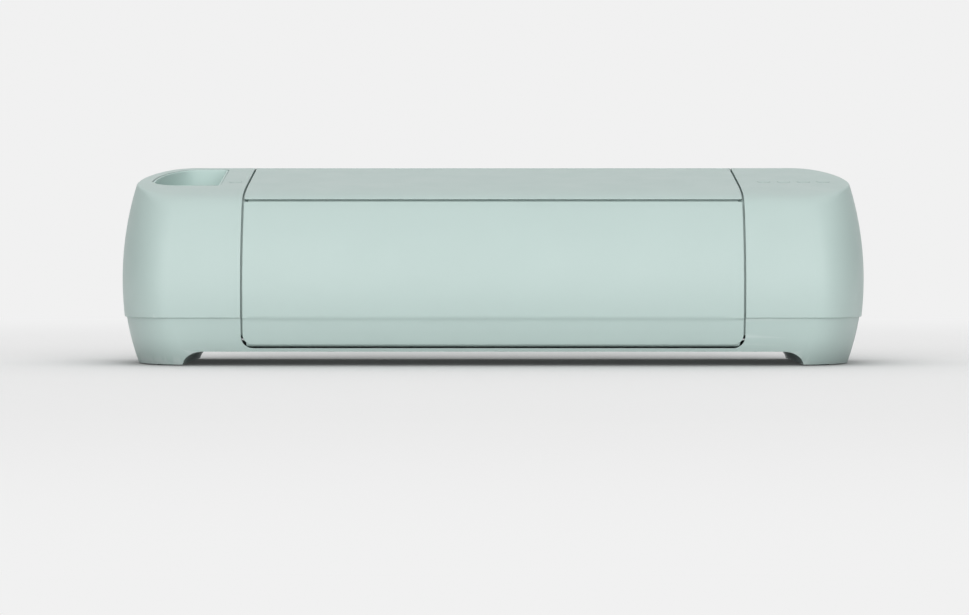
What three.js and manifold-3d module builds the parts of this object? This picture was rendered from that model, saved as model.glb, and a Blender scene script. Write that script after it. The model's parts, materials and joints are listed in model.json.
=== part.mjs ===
// A desktop craft cutting machine, closed: a lid and a drop-down door between two end pods, with the
// feed rollers, the tool carriage and its belt drive inside. Millimetres, +Z up.
// X runs left to right, Y from the front (-) to the back (+), and Z = 0 is the table under the feet.
import * as THREE from "three";
import { mergeVertices } from "three/addons/utils/BufferGeometryUtils.js";
import Module from "manifold-3d";

const wasm = await Module();
wasm.setup();

// Driving dimensions
const HALF_WIDTH = 281.5; // at the widest level of the pods
const HALF_DEPTH = 89;
const WALL = 2.5;
const GAP = 0.3; // between pieces that touch
const PARTING_Z = 35; // joint between the base and everything above it
const SIDE_ARC = { radius: 250, z: 64 }; // the pods' sides bulge by this arc
const FRONT_ARC = { radius: 127, z: 53 };
const BACK_ARC = { radius: 900, z: 75 };
const END_BULGE = 42; // the plan's ends are half ellipses this long in X and as deep as the body
const CREASE_Y = -63; // where the top meets the front
const TOP_SLOPE = 0.153;
const RIDGE = { y: 76.95, z: 140.26, radius: 9.6 }; // rounding from the top to the back
const BASE_STEP = 1.6; // the base is set back under the pods
const BASE_TAPER = { side: 0.258, front: 0.3, back: 0.2 };
const LEG_BOTTOM_Z = 0.8;
const UNDERSIDE_Z = 10.5;
const FLOOR_Z = 13.1; // inside floor of the base
const LEG_INNER_X = 230;
const LEG_ARCH = 15;
const LID_HALF = 185; // lid and door half width
const POD_INNER_X = 186.4;
const LID_EDGE_Z = 124.1;
const DOOR_TOP_Z = 122.4;
const DOOR_BOTTOM_Z = 15.7;
const LID_AXIS = { y: 72, z: 145.05, barrel: 4.2 };
const DOOR_AXIS = { y: -77.5, z: 19.5, barrel: 3.8 };
const DOOR_CORNER = 7.4;
const PIN_RADIUS = 1.5;
const FRAME_X = 182.5; // inner faces of the side frames
const FRAME_THICK = 2;
const MAT_Z = 50; // top of the platens
const DRIVE = { z: 42, radius: 8, shaft: 5 };
const PINCH = { z: 57.2, radius: 6, shaft: 2.5 };
const ROD = { y: 8, low: 76, high: 104, radius: 4 };
const BELT = { y: 21, z: 92, x: 168, radius: 6, width: 6, thick: 1.2 };
const TOOL_Y = -20;
const TOOL_X = 13; // each tool from the middle of the carriage
const TOOL_RADIUS = 6.5;
const GEAR = { module: 1, wheel: 36, pinion: 12, x: 192, thick: 7 };
const BUTTON_RADIUS = 4.5;
const BUTTON_Y = -4;

// Materials
const material = (color, roughness, metalness) =>
  new THREE.MeshStandardMaterial({ color, roughness, metalness });
const mint = material(0xc6d9d5, 0.45, 0);
const mintInner = material(0xb2cec8, 0.55, 0);
const charcoal = material(0x3a3f41, 0.6, 0);
const paleGrey = material(0xd4d7d6, 0.5, 0);
const steel = material(0xa8abad, 0.3, 1);
const aluminium = material(0xc2c5c7, 0.35, 1);
const rubber = material(0x2b2c2d, 0.9, 0);
const board = material(0x2f6b4a, 0.6, 0);
const brass = material(0xb89a5a, 0.35, 1);

// Solids
function solid(geometry) {
  geometry.deleteAttribute("normal");
  geometry.deleteAttribute("uv");
  const merged = mergeVertices(geometry, 1e-5);
  const vertProperties = Float32Array.from(merged.attributes.position.array);
  const triVerts = Uint32Array.from(merged.index.array);
  return new wasm.Manifold(new wasm.Mesh({ numProp: 3, vertProperties, triVerts }));
}

function toMesh(name, shape, look) {
  const { vertProperties, triVerts } = shape.getMesh();
  const geometry = new THREE.BufferGeometry();
  geometry.setAttribute("position", new THREE.BufferAttribute(vertProperties, 3));
  geometry.setIndex(new THREE.BufferAttribute(triVerts, 1));
  geometry.computeVertexNormals();
  const mesh = new THREE.Mesh(geometry, look);
  mesh.name = name;
  return mesh;
}

function box(x0, x1, y0, y1, z0, z1) {
  const geometry = new THREE.BoxGeometry(x1 - x0, y1 - y0, z1 - z0);
  return solid(geometry.translate((x0 + x1) / 2, (y0 + y1) / 2, (z0 + z1) / 2));
}

// A turned shape: its profile is [radius, distance along the axis] pairs. For axis "x" the centre is
// (y, z), for "y" it is (x, z) and for "z" it is (x, y).
function turned(axis, profile, a, b, segments = 24) {
  const points = profile.map(([r, t]) => new THREE.Vector2(r, t));
  const geometry = new THREE.LatheGeometry(points, segments);
  if (axis === "x") geometry.rotateZ(-Math.PI / 2).translate(0, a, b);
  if (axis === "y") geometry.translate(a, 0, b);
  if (axis === "z") geometry.rotateX(Math.PI / 2).translate(a, b, 0);
  return solid(geometry);
}

const rod = (axis, radius, from, to, a, b, segments) =>
  turned(axis, [[0, from], [radius, from], [radius, to], [0, to]], a, b, segments);

const X = new THREE.Vector3(1, 0, 0);
const Y = new THREE.Vector3(0, 1, 0);
const Z = new THREE.Vector3(0, 0, 1);

// Extrudes an outline of [y, z] points along X, or one of [x, z] points along Y.
function prismX(outline, x0, x1) {
  const shape = new THREE.Shape(outline.map(([y, z]) => new THREE.Vector2(y, z)));
  const geometry = new THREE.ExtrudeGeometry(shape, { depth: x1 - x0, bevelEnabled: false });
  return solid(geometry.applyMatrix4(new THREE.Matrix4().makeBasis(Y, Z, X)).translate(x0, 0, 0));
}

function prismY(shape, y0, y1) {
  const geometry = new THREE.ExtrudeGeometry(shape, { depth: y1 - y0, bevelEnabled: false });
  const basis = new THREE.Matrix4().makeBasis(X, Z, Y.clone().negate());
  return solid(geometry.applyMatrix4(basis).translate(0, y1, 0));
}

// Radii are given from the corner at (x0, y0), anticlockwise, each as one number or as [along X, along Y].
function roundedRectangle(x0, x1, y0, y1, radii) {
  const [a, b, c, d] = radii.map((r) => (Array.isArray(r) ? r : [r, r]));
  const quarter = Math.PI / 2;
  const shape = new THREE.Shape();
  const corner = (x, y, [rx, ry], start) => {
    if (rx > 0) shape.absellipse(x, y, rx, ry, start, start + quarter, false, 0);
  };
  shape.moveTo(x0 + a[0], y0);
  shape.lineTo(x1 - b[0], y0);
  corner(x1 - b[0], y0 + b[1], b, -quarter);
  shape.lineTo(x1, y1 - c[1]);
  corner(x1 - c[0], y1 - c[1], c, 0);
  shape.lineTo(x0 + d[0], y1);
  corner(x0 + d[0], y1 - d[1], d, quarter);
  shape.lineTo(x0, y0 + a[1]);
  corner(x0 + a[0], y0 + a[1], a, 2 * quarter);
  return shape;
}

// A column over the plan outline, whose ends are half ellipses. Its sides, front and back are set in by
// an amount that depends on the level.
function column(z0, z1, steps, inset, setIn) {
  const halfX = HALF_WIDTH - inset;
  const halfY = HALF_DEPTH - inset;
  const bulge = END_BULGE - inset;
  const plan = new THREE.Shape();
  plan.moveTo(bulge - halfX, -halfY);
  plan.lineTo(halfX - bulge, -halfY);
  plan.absellipse(halfX - bulge, 0, bulge, halfY, -Math.PI / 2, Math.PI / 2, false, 0);
  plan.lineTo(bulge - halfX, halfY);
  plan.absellipse(bulge - halfX, 0, bulge, halfY, Math.PI / 2, 1.5 * Math.PI, false, 0);
  const options = { depth: z1 - z0, steps, bevelEnabled: false, curveSegments: 11 };
  const geometry = new THREE.ExtrudeGeometry(plan, options).translate(0, 0, z0);
  const position = geometry.attributes.position;
  for (let i = 0; i < position.count; i += 1) {
    const { side, front, back } = setIn(position.getZ(i));
    const depth = position.getY(i) < 0 ? front : back;
    position.setX(i, position.getX(i) - Math.sign(position.getX(i)) * side);
    position.setY(i, position.getY(i) * (1 - depth / halfY));
  }
  return solid(geometry);
}

const sagitta = (arc, z) => arc.radius - Math.sqrt(arc.radius ** 2 - (z - arc.z) ** 2);
const frontY = (z) => -HALF_DEPTH + sagitta(FRONT_ARC, z);
const backY = (z) => HALF_DEPTH - sagitta(BACK_ARC, z);
const bodySetIn = (z) => ({
  side: sagitta(SIDE_ARC, z),
  front: sagitta(FRONT_ARC, z),
  back: sagitta(BACK_ARC, z),
});
const baseSetIn = (z) => ({
  side: sagitta(SIDE_ARC, PARTING_Z) + BASE_STEP + BASE_TAPER.side * (PARTING_Z - z),
  front: sagitta(FRONT_ARC, PARTING_Z) + BASE_STEP + BASE_TAPER.front * (PARTING_Z - z),
  back: sagitta(BACK_ARC, PARTING_Z) + BASE_STEP + BASE_TAPER.back * (PARTING_Z - z),
});

// Height of the sloping top: a straight slope that dips towards the front crease.
function topZ(y) {
  const dip = 3.5 * Math.exp((CREASE_Y - Math.max(y, CREASE_Y)) / 13);
  return 133 + TOP_SLOPE * (y + 34) - dip - Math.max(0, CREASE_Y - y) * 0.45;
}

function range(from, to, count) {
  return Array.from({ length: count + 1 }, (_, i) => from + ((to - from) * i) / count);
}

const topPoints = (y0, y1, count, inset) => range(y0, y1, count).map((y) => [y, topZ(y) - inset]);

function ridgePoints(inset, from, to, count) {
  const r = RIDGE.radius - inset;
  return range(from, to, count).map((a) => [RIDGE.y + r * Math.cos(a), RIDGE.z + r * Math.sin(a)]);
}

const RIDGE_START = Math.PI / 2 + Math.atan(TOP_SLOPE);

// The whole upper body, set in all round by a distance.
function bodySolid(inset) {
  const roof = [
    [-120, 0],
    [120, 0],
    [120, RIDGE.z - 30],
    [backY(RIDGE.z - 30) + 1, RIDGE.z - 30],
    ...ridgePoints(inset, 0, RIDGE_START, 6),
    ...topPoints(CREASE_Y, 68, 8, inset).reverse(),
    [-120, topZ(-120) - inset],
  ];
  return column(PARTING_Z + GAP, 160, 12, inset, bodySetIn).intersect(prismX(roof, -300, 300));
}

const outerBody = bodySolid(0);
const innerBody = bodySolid(WALL);

function podShell(sign) {
  const near = (x) => box(Math.min(sign * x, sign * 300), Math.max(sign * x, sign * 300), -120, 120, 0, 200);
  const shaftSlot = box(-300, 300, -6, 6, 0, DRIVE.z + 6);
  const lidPinHole = rod("x", PIN_RADIUS + GAP, -300, 300, LID_AXIS.y, LID_AXIS.z, 16);
  const wallZone = box(-POD_INNER_X - 4, POD_INNER_X + 4, -120, 120, 0, 200);
  return outerBody
    .intersect(near(POD_INNER_X))
    .subtract(innerBody.intersect(near(POD_INNER_X + WALL)))
    .subtract(box(-300, 300, -84, 84, 0, PARTING_Z + 1).intersect(near(POD_INNER_X + WALL)))
    .subtract(shaftSlot.add(lidPinHole).intersect(wallZone));
}

// Tool cup in the left pod: a deep pocket with a straight inner side. Its outer side follows the pod's.
const CUP = { x0: -259.5, x1: -206, y0: -23, y1: 68, floor: 68 };

function cupPrism(inset, z0, z1) {
  const shrink = (r) => Math.max(r - inset, 1);
  const radii = [shrink(22), shrink(4), shrink(4), [shrink(30), shrink(68)]];
  const plan = roundedRectangle(CUP.x0 + inset, CUP.x1 - inset, CUP.y0 + inset, CUP.y1 - inset, radii);
  const options = { depth: z1 - z0, bevelEnabled: false, curveSegments: 6 };
  return solid(new THREE.ExtrudeGeometry(plan, options).translate(0, 0, z0));
}

function toolCup() {
  return cupPrism(GAP, CUP.floor, 170).subtract(cupPrism(GAP + 1.8, CUP.floor + 2, 170)).intersect(bodySolid(0.5));
}

// Buttons sit square to the sloping top. A local frame there has w along the surface normal.
const BUTTON_TILT = Math.atan(TOP_SLOPE);

function onTop(shape, x, y) {
  const tilt = new THREE.Matrix4().makeRotationX(BUTTON_TILT);
  const place = new THREE.Matrix4().makeTranslation(x, y, topZ(y)).multiply(tilt);
  return shape.transform(place.toArray());
}

const buttonHole = (x) => onTop(rod("z", BUTTON_RADIUS + 0.4, -4, 4, 0, 0, 20), x, BUTTON_Y);
const buttonCap = (x) =>
  onTop(
    turned("z", [[0, -6.5], [3, -6.5], [3, -4.4], [6, -4.4], [6, -3.2], [4.5, -3.2], [4.5, 0.2], [0, 0.2]], 0, 0, 20),
    x,
    BUTTON_Y,
  );
const RIGHT_BUTTONS = { power_button: 206, load_button: 221, go_button: 236, pause_button: 251 };
const OPEN_BUTTON_X = -196;

function leftPod() {
  return podShell(-1).subtract(cupPrism(0, 100, 170)).subtract(buttonHole(OPEN_BUTTON_X));
}

function rightPod() {
  return Object.values(RIGHT_BUTTONS).reduce((pod, x) => pod.subtract(buttonHole(x)), podShell(1));
}

const FOOT = { x: 243, y: 50, radius: 9, top: 2.4 };
const signs = [-1, 1];
const corners = signs.flatMap((sx) => signs.map((sy) => [sx, sy]));
const SCREW = { x: 195, y: 62, head: 3.4, shank: 1.6, recess: 1.4, length: 8 };
const JACK_X = -140;
const USB_X = -112;
const BOARD = { x0: -155, x1: -65, y0: 22, y1: 76, z: 16.8, thick: 1.6 };

function underGap() {
  const shape = new THREE.Shape();
  shape.moveTo(-LEG_INNER_X, -5);
  shape.lineTo(LEG_INNER_X, -5);
  shape.lineTo(LEG_INNER_X, 0);
  shape.absellipse(LEG_INNER_X - LEG_ARCH, 0, LEG_ARCH, UNDERSIDE_Z, 0, Math.PI / 2, false);
  shape.lineTo(LEG_ARCH - LEG_INNER_X, UNDERSIDE_Z);
  shape.absellipse(LEG_ARCH - LEG_INNER_X, 0, LEG_ARCH, UNDERSIDE_Z, Math.PI / 2, Math.PI, false);
  return prismY(shape, -120, 120);
}

// The two cheeks beside the door carry its hinge pins.
function doorCheeks(shell) {
  const reach = POD_INNER_X + WALL;
  const span = box(-reach, reach, -84, -68, FLOOR_Z - 1, 25).intersect(shell);
  return span.subtract(box(-POD_INNER_X, POD_INNER_X, -90, -60, 0, 40));
}

function baseTray() {
  const outer = column(LEG_BOTTOM_Z, PARTING_Z, 1, 0, baseSetIn);
  const inner = column(FLOOR_Z, PARTING_Z + 5, 1, WALL, baseSetIn);
  let tray = outer.subtract(inner).subtract(underGap());
  tray = tray.subtract(box(-POD_INNER_X, POD_INNER_X, -100, -60, FLOOR_Z, 60));
  for (const [sx, sy] of corners) {
    tray = tray.subtract(rod("z", FOOT.radius + GAP, 0, FOOT.top + GAP, sx * FOOT.x, sy * FOOT.y, 20));
    tray = tray.subtract(rod("z", SCREW.head + GAP, 0, UNDERSIDE_Z + SCREW.recess, sx * SCREW.x, sy * SCREW.y, 14));
    tray = tray.subtract(rod("z", SCREW.shank + GAP, 0, 40, sx * SCREW.x, sy * SCREW.y, 14));
  }
  for (const x of [BOARD.x0 + 5, BOARD.x1 - 5]) {
    for (const y of [BOARD.y0 + 5, BOARD.y1 - 14]) {
      tray = tray.add(rod("z", 3, FLOOR_Z - 1, BOARD.z - GAP, x, y, 10));
    }
  }
  const pinReach = POD_INNER_X + WALL + 1;
  const pinHoles = rod("x", PIN_RADIUS + GAP, -pinReach, pinReach, DOOR_AXIS.y, DOOR_AXIS.z, 16);
  tray = tray.add(doorCheeks(outer)).subtract(pinHoles);
  for (const x of [JACK_X, USB_X]) {
    tray = tray.subtract(box(x - 7, x + 7, 75, 100, BOARD.z + 1.3, 31));
  }
  return tray;
}

function foot(sx, sy) {
  return rod("z", FOOT.radius, 0, FOOT.top, sx * FOOT.x, sy * FOOT.y, 20);
}

function baseScrew(sx, sy) {
  const top = UNDERSIDE_Z + SCREW.recess - GAP;
  const profile = [[0, UNDERSIDE_Z], [SCREW.head, UNDERSIDE_Z], [SCREW.head, top], [SCREW.shank, top]];
  return turned("z", [...profile, [SCREW.shank, top + SCREW.length], [0, top + SCREW.length]], sx * SCREW.x, sy * SCREW.y, 14);
}

function lidPanel() {
  const nose = [frontY(LID_EDGE_Z) + 1.2, LID_EDGE_Z];
  const outer = [nose, ...topPoints(CREASE_Y, LID_AXIS.y, 9, 0)];
  const inner = [...topPoints(CREASE_Y + 1, LID_AXIS.y, 9, WALL).reverse(), [nose[0] + 2.4, LID_EDGE_Z]];
  const barrel = rod("x", LID_AXIS.barrel, -LID_HALF, LID_HALF, LID_AXIS.y, LID_AXIS.z, 20);
  const lid = prismX([...outer, ...inner], -LID_HALF, LID_HALF).add(barrel);
  return lid.subtract(endPin(-1, LID_AXIS, GAP)).subtract(endPin(1, LID_AXIS, GAP));
}

// A hinge pin at one end of the lid or the door, or with some extra radius the hole for it.
function endPin(sign, axis, extra) {
  const ends = [sign * (LID_HALF - 6 - extra), sign * (POD_INNER_X + 2)].sort((a, b) => a - b);
  return rod("x", PIN_RADIUS + extra, ends[0], ends[1], axis.y, axis.z, 16);
}

// The lid's inner skin, with one stiffening rib near the front.
function lidLiner() {
  const upper = topPoints(-50, 62, 7, WALL + GAP);
  const lower = topPoints(-50, 62, 7, WALL + GAP + 1.6).reverse();
  const rib = box(-170, 170, -49, -46, 122, topZ(-47.5) - WALL - 1);
  return prismX([...upper, ...lower], -178, 178).add(rib);
}

function rearCover() {
  const slot = box(-168, 168, 60, 120, MAT_Z - 3.4, MAT_Z + 11);
  const levels = range(RIDGE.z, PARTING_Z + GAP, 5);
  const outer = [...ridgePoints(0, Math.PI / 2, 0, 5), ...levels.map((z) => [backY(z), z])];
  const inner = [...levels.map((z) => [backY(z) - WALL, z]).reverse(), ...ridgePoints(WALL, 0, Math.PI / 2, 5)];
  const half = POD_INNER_X - GAP;
  return prismX([...outer, ...inner], -half, half).subtract(slot);
}

const bandY = (z) => frontY(PARTING_Z) + BASE_TAPER.front * (PARTING_Z - z);

function doorPanel() {
  const levels = range(PARTING_Z, DOOR_TOP_Z, 10);
  const outer = [[bandY(DOOR_BOTTOM_Z), DOOR_BOTTOM_Z], ...levels.map((z) => [frontY(z), z])];
  const inner = [...outer].reverse().map(([y, z]) => [y + WALL + 0.1, z]);
  const { y, z, barrel } = DOOR_AXIS;
  const radii = [DOOR_CORNER, DOOR_CORNER, 2, 2];
  const face = roundedRectangle(-LID_HALF, LID_HALF, DOOR_BOTTOM_Z, DOOR_TOP_Z, radii);
  let door = prismX([...outer, ...inner], -LID_HALF, LID_HALF);
  door = door.add(rod("x", barrel, -LID_HALF, LID_HALF, y, z, 20)).intersect(prismY(face, -100, -50));
  return door.subtract(endPin(-1, DOOR_AXIS, GAP)).subtract(endPin(1, DOOR_AXIS, GAP));
}

// The door's inner skin has an open tray on the right and a covered one on the left.
const LINER = { y0: -68, y1: -66, z0: 26, z1: 115 };
const TRAY = { back: -80.4, wall: 1.5 };
const OPEN_TRAY = { x0: 12, x1: 150, z0: 40, z1: 80 };
const BLADE_TRAY = { x0: -150, x1: -12, z0: 55, z1: 78 };

function trayBox({ x0, x1, z0, z1 }, inset, back, front) {
  return box(x0 + inset, x1 - inset, back, front, z0 + inset, z1 - inset);
}

function doorLiner() {
  let liner = box(-178, 178, LINER.y0, LINER.y1, LINER.z0, LINER.z1);
  for (const tray of [OPEN_TRAY, BLADE_TRAY]) {
    liner = liner.add(trayBox(tray, -TRAY.wall, TRAY.back, LINER.y1));
    liner = liner.subtract(trayBox(tray, 0, TRAY.back + TRAY.wall, LINER.y1 + 5));
  }
  return liner;
}

const COVER_AXIS = { y: -67, z: 76.2, barrel: 1.3 };

function storageCover() {
  const { x0, x1, z0 } = BLADE_TRAY;
  const plate = box(x0 + 0.5, x1 - 0.5, LINER.y0 + 0.1, LINER.y1 - 0.1, z0 + 0.6, COVER_AXIS.z);
  const barrel = rod("x", COVER_AXIS.barrel, x0 + 0.5, x1 - 0.5, COVER_AXIS.y, COVER_AXIS.z, 12);
  const lip = box((x0 + x1) / 2 - 10, (x0 + x1) / 2 + 10, LINER.y1 - 1, LINER.y1 + 2, z0 + 1, z0 + 3);
  return plate.add(barrel).add(lip);
}

function sideFrame(sign) {
  const ends = [sign * FRAME_X, sign * (FRAME_X + FRAME_THICK)].sort((a, b) => a - b);
  const plate = [
    [-58, FLOOR_Z + GAP],
    [72, FLOOR_Z + GAP],
    [72, 124],
    [40, 132],
    [-20, 124],
    [-44, 96],
    [-58, 56],
  ];
  const hole = rod("x", DRIVE.shaft + 0.4, -200, 200, 0, DRIVE.z, 24);
  return prismX(plate, ends[0], ends[1]).subtract(hole);
}

const platen = (y0, y1) => box(-FRAME_X + 0.5, FRAME_X - 0.5, y0, y1, MAT_Z - 2.5, MAT_Z);

function rearPlaten() {
  return platen(9.5, 70).add(box(-166, 166, 69, 87, MAT_Z - 2.5, MAT_Z));
}

// A roller: a shaft with wider tyres at the given places.
function roller(from, to, shaft, radius, tyres, z) {
  const profile = [[0, from], [shaft, from]];
  for (const [start, end] of tyres) {
    profile.push([shaft, start], [radius, start], [radius, end], [shaft, end]);
  }
  profile.push([shaft, to], [0, to]);
  return turned("x", profile, 0, z, 24);
}

const TYRES = [[-165, -125], [-60, -20], [20, 60], [125, 165]];
const driveRoller = () => roller(-186, 199.5, DRIVE.shaft, DRIVE.radius, TYRES, DRIVE.z);
const pinchRoller = () => roller(-182, 182, PINCH.shaft, PINCH.radius, TYRES, PINCH.z);

function pinchArm(sign) {
  const ends = [sign * (FRAME_X - 3.3), sign * (FRAME_X - GAP)].sort((a, b) => a - b);
  const arm = [[-5, 52], [5, 52], [30, 58], [30, 66], [18, 66], [-5, 64]];
  return prismX(arm, ends[0], ends[1]).subtract(rod("x", PINCH.shaft + GAP, -200, 200, 0, PINCH.z, 16));
}

// Spur gears with straight-sided teeth.
function gear(teeth, centreY, centreZ, firstTooth, bore) {
  const pitch = (teeth * GEAR.module) / 2;
  const flanks = [[-0.29, pitch - 1.1], [-0.11, pitch + 0.8], [0.11, pitch + 0.8], [0.29, pitch - 1.1]];
  const outline = [];
  for (let i = 0; i < teeth; i += 1) {
    for (const [share, r] of flanks) {
      const angle = firstTooth + ((i + share) * 2 * Math.PI) / teeth;
      outline.push([centreY + r * Math.cos(angle), centreZ + r * Math.sin(angle)]);
    }
  }
  const disc = prismX(outline, GEAR.x, GEAR.x + GEAR.thick);
  return disc.subtract(rod("x", bore, GEAR.x - 5, GEAR.x + 15, centreY, centreZ, 20));
}

const GEAR_CENTRES = ((GEAR.wheel + GEAR.pinion) * GEAR.module) / 2 + 0.15;
const MOTOR = { y: GEAR_CENTRES * Math.SQRT1_2, z: DRIVE.z + GEAR_CENTRES * Math.SQRT1_2, radius: 15 };
const MOTOR_SHAFT = 2;
const driveGear = () => gear(GEAR.wheel, 0, DRIVE.z, 0, DRIVE.shaft + GAP);

function feedPinion() {
  const teeth = gear(GEAR.pinion, MOTOR.y, MOTOR.z, Math.PI / GEAR.pinion, 1);
  return teeth.add(rod("x", MOTOR_SHAFT, GEAR.x - 1, 205, MOTOR.y, MOTOR.z, 16));
}

function feedMotorBracket() {
  const reach = MOTOR.radius + 3;
  let plate = box(200.5, 202.5, MOTOR.y - reach, MOTOR.y + reach, MOTOR.z - 12, MOTOR.z + reach);
  for (const side of signs) {
    plate = plate.add(rod("x", 3, POD_INNER_X + WALL + GAP, 201, MOTOR.y + side * 14, MOTOR.z + 14, 12));
  }
  return plate.subtract(rod("x", 4, 195, 210, MOTOR.y, MOTOR.z, 16));
}

function feedMotor() {
  const body = rod("x", MOTOR.radius, 202.8, 232, MOTOR.y, MOTOR.z, 24);
  const shaftRoom = rod("x", MOTOR_SHAFT + GAP, 200, 205.5, MOTOR.y, MOTOR.z, 16);
  return body.subtract(shaftRoom).add(rod("x", 5, 231, 235, MOTOR.y, MOTOR.z, 16));
}

const BEAM = { y0: 30, y1: 32 };

function rearBeam() {
  const plate = box(-FRAME_X + 0.4, FRAME_X - 0.4, BEAM.y0, BEAM.y1, 72, 122);
  const shelf = box(-FRAME_X + 0.4, FRAME_X - 0.4, BEAM.y0, BEAM.y1 + 14, 120, 122);
  return plate.add(shelf).subtract(rod("y", 3.5, 20, 40, BELT.x, BELT.z, 16));
}

const guideRod = (z) => rod("x", ROD.radius, -FRAME_X + GAP, FRAME_X - GAP, ROD.y, z, 20);

function stadium(radius, x) {
  const shape = new THREE.Shape();
  shape.moveTo(-x, BELT.z - radius);
  shape.lineTo(x, BELT.z - radius);
  shape.absarc(x, BELT.z, radius, -Math.PI / 2, Math.PI / 2, false);
  shape.lineTo(-x, BELT.z + radius);
  shape.absarc(-x, BELT.z, radius, Math.PI / 2, 1.5 * Math.PI, false);
  return shape;
}

function carriageBelt() {
  const inside = BELT.radius + GAP;
  const [y0, y1] = [BELT.y - BELT.width / 2, BELT.y + BELT.width / 2];
  return prismY(stadium(inside + BELT.thick, BELT.x), y0, y1).subtract(prismY(stadium(inside, BELT.x), y0 - 1, y1 + 1));
}

// A flanged pulley between the belt's edges.
function pulley(sign, bore, shaftEnd) {
  const [y0, y1] = [BELT.y - BELT.width / 2 - GAP, BELT.y + BELT.width / 2 + GAP];
  const profile = [[bore, y0 - 1], [7.6, y0 - 1], [7.6, y0], [BELT.radius, y0], [BELT.radius, y1], [7.6, y1], [7.6, y1 + 1]];
  profile.push(...(bore > 0 ? [[bore, y1 + 1], [bore, y0 - 1]] : [[2, y1 + 1], [2, shaftEnd], [0, shaftEnd]]));
  return turned("y", profile, sign * BELT.x, BELT.z, 24);
}

const motorPulley = () => pulley(1, 0, BEAM.y1 + 3);
const idlerPulley = () => pulley(-1, 2.3, 0);
const idlerAxle = () =>
  turned("y", [[0, 15.2], [3.4, 15.2], [3.4, 16.3], [2, 16.3], [2, BEAM.y0 - GAP], [0, BEAM.y0 - GAP]], -BELT.x, BELT.z, 16);

function carriageMotor() {
  const body = rod("y", 13, BEAM.y1 + GAP, 58, BELT.x, BELT.z, 24);
  return body.subtract(rod("y", 2 + GAP, 30, BEAM.y1 + 3.5, BELT.x, BELT.z, 16));
}

const CARRIAGE = { half: 31, y0: -8, y1: 14.5, z0: 68, z1: 113 };

function carriageBody() {
  const { half, y0, y1, z0, z1 } = CARRIAGE;
  let block = box(-half, half, y0, y1, z0, z1).subtract(box(-half + 8, half - 8, y0 + 3, y1 + 5, z0 + 13, z1 - 13));
  for (const z of [ROD.low, ROD.high]) {
    block = block.subtract(rod("x", ROD.radius + GAP, -half - 5, half + 5, ROD.y, z, 20));
  }
  return block;
}

// The clip that grips the belt's lower run: a block with a slot along X that is open at the back.
function beltClip() {
  const low = BELT.z - BELT.radius - GAP - BELT.thick;
  const back = BELT.y + BELT.width / 2 + 1.5;
  const slot = box(-20, 20, BELT.y - BELT.width / 2 - GAP, back + 5, low - GAP, low + BELT.thick + GAP);
  return box(-10, 10, CARRIAGE.y1 + GAP, back, low - 3, low + 4).subtract(slot);
}

function carriageCover() {
  const { half, y0, z1 } = CARRIAGE;
  const top = [[y0 - 4, z1 - 12], [y0 - 4, z1 + 2], [y0, z1 + 5], [16, z1 + 5], [16, z1 + GAP], [y0 - GAP, z1 + GAP], [y0 - GAP, z1 - 12]];
  return prismX(top, -half, half);
}

// Each tool holder is the back half of a collar; its clamp is the front half, on an upright hinge.
const HOLDER = { half: 9, z0: 72, z1: 97, split: TOOL_Y - 0.3 };
const toolBore = (sign) => rod("z", TOOL_RADIUS + GAP, 40, 140, sign * TOOL_X, TOOL_Y, 20);

function toolHolder(sign) {
  const x = sign * TOOL_X;
  const block = box(x - HOLDER.half, x + HOLDER.half, HOLDER.split + GAP, CARRIAGE.y0 - 0.5, HOLDER.z0, HOLDER.z1);
  return block.subtract(toolBore(sign));
}

function toolClamp(sign) {
  const x = sign * TOOL_X;
  const collar = box(x - HOLDER.half, x + HOLDER.half, -30, HOLDER.split - GAP, HOLDER.z0 + 1, HOLDER.z1 - 1);
  const lever = box(x - 5, x + 5, -33, -29, HOLDER.z1 - 12, HOLDER.z1 - 4);
  return collar.add(lever).subtract(toolBore(sign));
}

// The tools: a fine-point blade housing on the right and a pen adaptor on the left.
function bladeHousing() {
  const profile = [[0, 55.6], [0.6, 58], [3.5, 60], [3.5, 65], [TOOL_RADIUS, 70], [TOOL_RADIUS, 98], [8, 98], [8, 104], [6, 107], [0, 107]];
  return turned("z", profile, TOOL_X, TOOL_Y, 20);
}

function penAdaptor() {
  const profile = [[0, 66], [5, 66], [TOOL_RADIUS, 70], [TOOL_RADIUS, 98], [8, 98], [8, 101], [5, 101], [5, 90], [0, 90]];
  return turned("z", profile, -TOOL_X, TOOL_Y, 20);
}

const mainBoard = () => box(BOARD.x0, BOARD.x1, BOARD.y0, BOARD.y1, BOARD.z, BOARD.z + BOARD.thick);

function powerJack() {
  const low = BOARD.z + BOARD.thick + GAP;
  const shell = box(JACK_X - 5, JACK_X + 5, 68, 82.5, low, low + 10);
  return shell.subtract(rod("y", 3, 74, 90, JACK_X, low + 5, 16));
}

function usbPort() {
  const low = BOARD.z + BOARD.thick + GAP;
  const shell = box(USB_X - 6, USB_X + 6, 68, 82.5, low, low + 10.5);
  return shell.subtract(box(USB_X - 4.2, USB_X + 4.2, 72, 90, low + 1.2, low + 9));
}

const buttonBoard = () => onTop(box(-30, 30, -9, 9, -9.6, -8), 228.5, BUTTON_Y);

const machine = new THREE.Group();
const add = (name, shape, look) => machine.add(toMesh(name, shape, look));

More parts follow.
